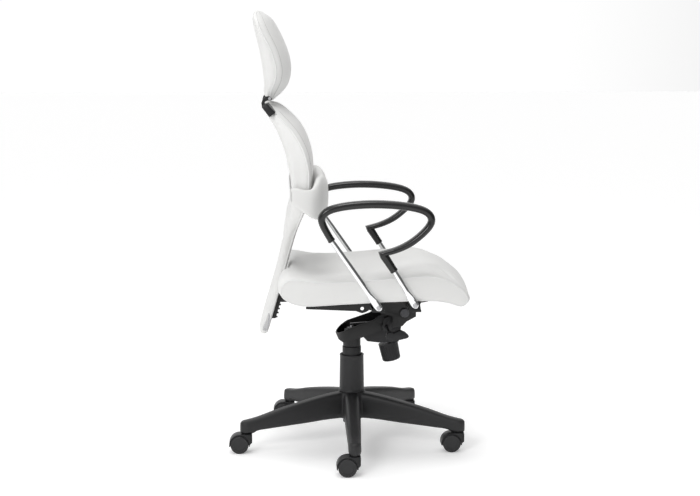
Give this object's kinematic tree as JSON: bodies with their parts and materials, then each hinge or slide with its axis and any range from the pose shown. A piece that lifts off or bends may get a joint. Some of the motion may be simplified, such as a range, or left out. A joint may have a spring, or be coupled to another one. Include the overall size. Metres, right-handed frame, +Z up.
{
  "type": "swivel office chair",
  "caption": "High-back swivel office chair: star base on casters, gas column, tilting seat, loop arms, sliding leaf-shaped back, lumbar pad and headrest.",
  "frame": {"origin": "on the floor, on the axis of the column", "axes": "+X the way the sitter faces, +Y the sitter's left, +Z up"},
  "size_m": [0.6602, 0.6135, 1.222],
  "materials": {
    "white_upholstery": "satin",
    "base_nylon": "satin",
    "black_plastic": "satin",
    "wheel_nylon": "satin",
    "arm_plastic": "satin",
    "chrome_tube": "polished",
    "black_sheet": "satin",
    "black_casting": "satin",
    "dark_steel": "satin",
    "bare_steel": "satin",
    "bush_plastic": "matte",
    "plywood": "matte",
    "grey_core": "satin",
    "grey_elastic": "matte"
  },
  "bodies": {
    "base": {"star_base": "base_nylon", "stand_tube": "dark_steel", "guide_bush": "bush_plastic", "thrust_bearing": "bare_steel", "cover_lower": "base_nylon"},
    "cover_middle": {"cover_middle": "base_nylon"},
    "rod": {"piston_rod": "bare_steel", "cylinder_clip": "bare_steel"},
    "mechanism": {"pressure_tube": "dark_steel", "cover_upper": "base_nylon", "tilt_housing": "black_casting", "lever_bracket": "black_plastic", "spring_box": "black_plastic", "tension_spring": "bare_steel"},
    "valve": {"valve_button": "bare_steel"},
    "height_lever": {"lever_rod": "dark_steel", "lever_handle": "black_plastic"},
    "tension_knob": {"tension_knob": "black_plastic", "tension_bolt": "bare_steel"},
    "seat": {"seat_plate": "black_sheet", "pivot_axle": "dark_steel", "pivot_bushes": "bush_plastic", "seat_bolts": "bare_steel", "arm_straps": "black_sheet", "seat_shell": "plywood", "seat_cushion": "white_upholstery", "back_bar": "black_sheet", "back_carrier": "black_plastic", "arm_loop_left": "arm_plastic", "arm_loop_right": "arm_plastic", "arm_tubes_left": "chrome_tube", "arm_tubes_right": "chrome_tube", "arm_bolts": "bare_steel"},
    "back": {"spine_bar": "grey_core", "back_rack": "black_plastic", "back_cushion": "white_upholstery", "yoke_cap_left": "black_plastic", "yoke_cap_right": "black_plastic", "yoke_rod": "bare_steel"},
    "lumbar": {"lumbar_pad": "white_upholstery", "lumbar_strap": "grey_elastic"},
    "headrest": {"headrest_bracket": "dark_steel", "headrest_plate": "grey_core", "headrest_cushion": "white_upholstery"},
    "caster_1": {"caster_1_hood": "black_plastic", "caster_1_pins": "bare_steel"},
    "wheels_1": {"caster_1_wheels": "wheel_nylon"},
    "caster_2": {"caster_2_hood": "black_plastic", "caster_2_pins": "bare_steel"},
    "wheels_2": {"caster_2_wheels": "wheel_nylon"},
    "caster_3": {"caster_3_hood": "black_plastic", "caster_3_pins": "bare_steel"},
    "wheels_3": {"caster_3_wheels": "wheel_nylon"},
    "caster_4": {"caster_4_hood": "black_plastic", "caster_4_pins": "bare_steel"},
    "wheels_4": {"caster_4_wheels": "wheel_nylon"},
    "caster_5": {"caster_5_hood": "black_plastic", "caster_5_pins": "bare_steel"},
    "wheels_5": {"caster_5_wheels": "wheel_nylon"}
  },
  "joints": [
    {"name": "chair_swivel", "type": "hinge", "parent": "base", "child": "rod", "pos_m": [0, 0, 0.069], "axis": [0, 0, 1], "continuous": true},
    {"name": "seat_lift", "type": "slide", "parent": "rod", "child": "mechanism", "axis": [0, 0, 1], "range_m": [-0.025, 0.075]},
    {"name": "cover_lift", "type": "slide", "parent": "base", "child": "cover_middle", "axis": [0, 0, 1], "range_m": [-0.0125, 0.0375]},
    {"name": "seat_tilt", "type": "hinge", "parent": "mechanism", "child": "seat", "pos_m": [0.142, 0, 0.393], "axis": [0, -1, 0], "range_deg": [0, 12], "stiffness_Nm_per_rad": 80, "springref_deg": -31.51},
    {"name": "back_height", "type": "slide", "parent": "seat", "child": "back", "axis": [0.2785, 0, 0.9604], "range_m": [0, 0.045]},
    {"name": "lumbar_height", "type": "slide", "parent": "back", "child": "lumbar", "axis": [0, 0, 1], "range_m": [-0.02, 0.02]},
    {"name": "headrest_tilt", "type": "hinge", "parent": "back", "child": "headrest", "pos_m": [-0.227, 0, 0.988], "axis": [0, 1, 0], "range_deg": [-15, 20]},
    {"name": "lever_lift", "type": "hinge", "parent": "mechanism", "child": "height_lever", "pos_m": [0.093, -0.2, 0.351], "axis": [0, -1, 0], "range_deg": [0, 3.5], "stiffness_Nm_per_rad": 3, "springref_deg": -8.59},
    {"name": "valve_press", "type": "slide", "parent": "mechanism", "child": "valve", "axis": [0, 0, -1], "range_m": [0, 0.0058]},
    {"name": "knob_turn", "type": "hinge", "parent": "mechanism", "child": "tension_knob", "pos_m": [0.1033, 0, 0.29], "axis": [-0.218, 0, 0.976], "continuous": true},
    {"name": "caster_1_swivel", "type": "hinge", "parent": "base", "child": "caster_1", "pos_m": [-0.00904, -0.31187, 0.08], "axis": [0, 0, 1], "continuous": true},
    {"name": "wheels_1_roll", "type": "hinge", "parent": "caster_1", "child": "wheels_1", "pos_m": [-0.02904, -0.31187, 0.025], "axis": [0, 1, 0], "continuous": true},
    {"name": "caster_2_swivel", "type": "hinge", "parent": "base", "child": "caster_2", "pos_m": [0.29381, -0.10497, 0.08], "axis": [0, 0, 1], "continuous": true},
    {"name": "wheels_2_roll", "type": "hinge", "parent": "caster_2", "child": "wheels_2", "pos_m": [0.27381, -0.10497, 0.025], "axis": [0, 1, 0], "continuous": true},
    {"name": "caster_3_swivel", "type": "hinge", "parent": "base", "child": "caster_3", "pos_m": [0.19062, 0.24699, 0.08], "axis": [0, 0, 1], "continuous": true},
    {"name": "wheels_3_roll", "type": "hinge", "parent": "caster_3", "child": "wheels_3", "pos_m": [0.17062, 0.24699, 0.025], "axis": [0, 1, 0], "continuous": true},
    {"name": "caster_4_swivel", "type": "hinge", "parent": "base", "child": "caster_4", "pos_m": [-0.176, 0.25762, 0.08], "axis": [0, 0, 1], "continuous": true},
    {"name": "wheels_4_roll", "type": "hinge", "parent": "caster_4", "child": "wheels_4", "pos_m": [-0.196, 0.25762, 0.025], "axis": [0, 1, 0], "continuous": true},
    {"name": "caster_5_swivel", "type": "hinge", "parent": "base", "child": "caster_5", "pos_m": [-0.2994, -0.08778, 0.08], "axis": [0, 0, 1], "continuous": true},
    {"name": "wheels_5_roll", "type": "hinge", "parent": "caster_5", "child": "wheels_5", "pos_m": [-0.3194, -0.08778, 0.025], "axis": [0, 1, 0], "continuous": true}
  ],
  "couplings": [
    {"joint": "cover_lift", "follows": "seat_lift", "ratio": 0.5},
    {"joint": "valve_press", "follows": "lever_lift", "m_per_rad": 0.093}
  ]
}
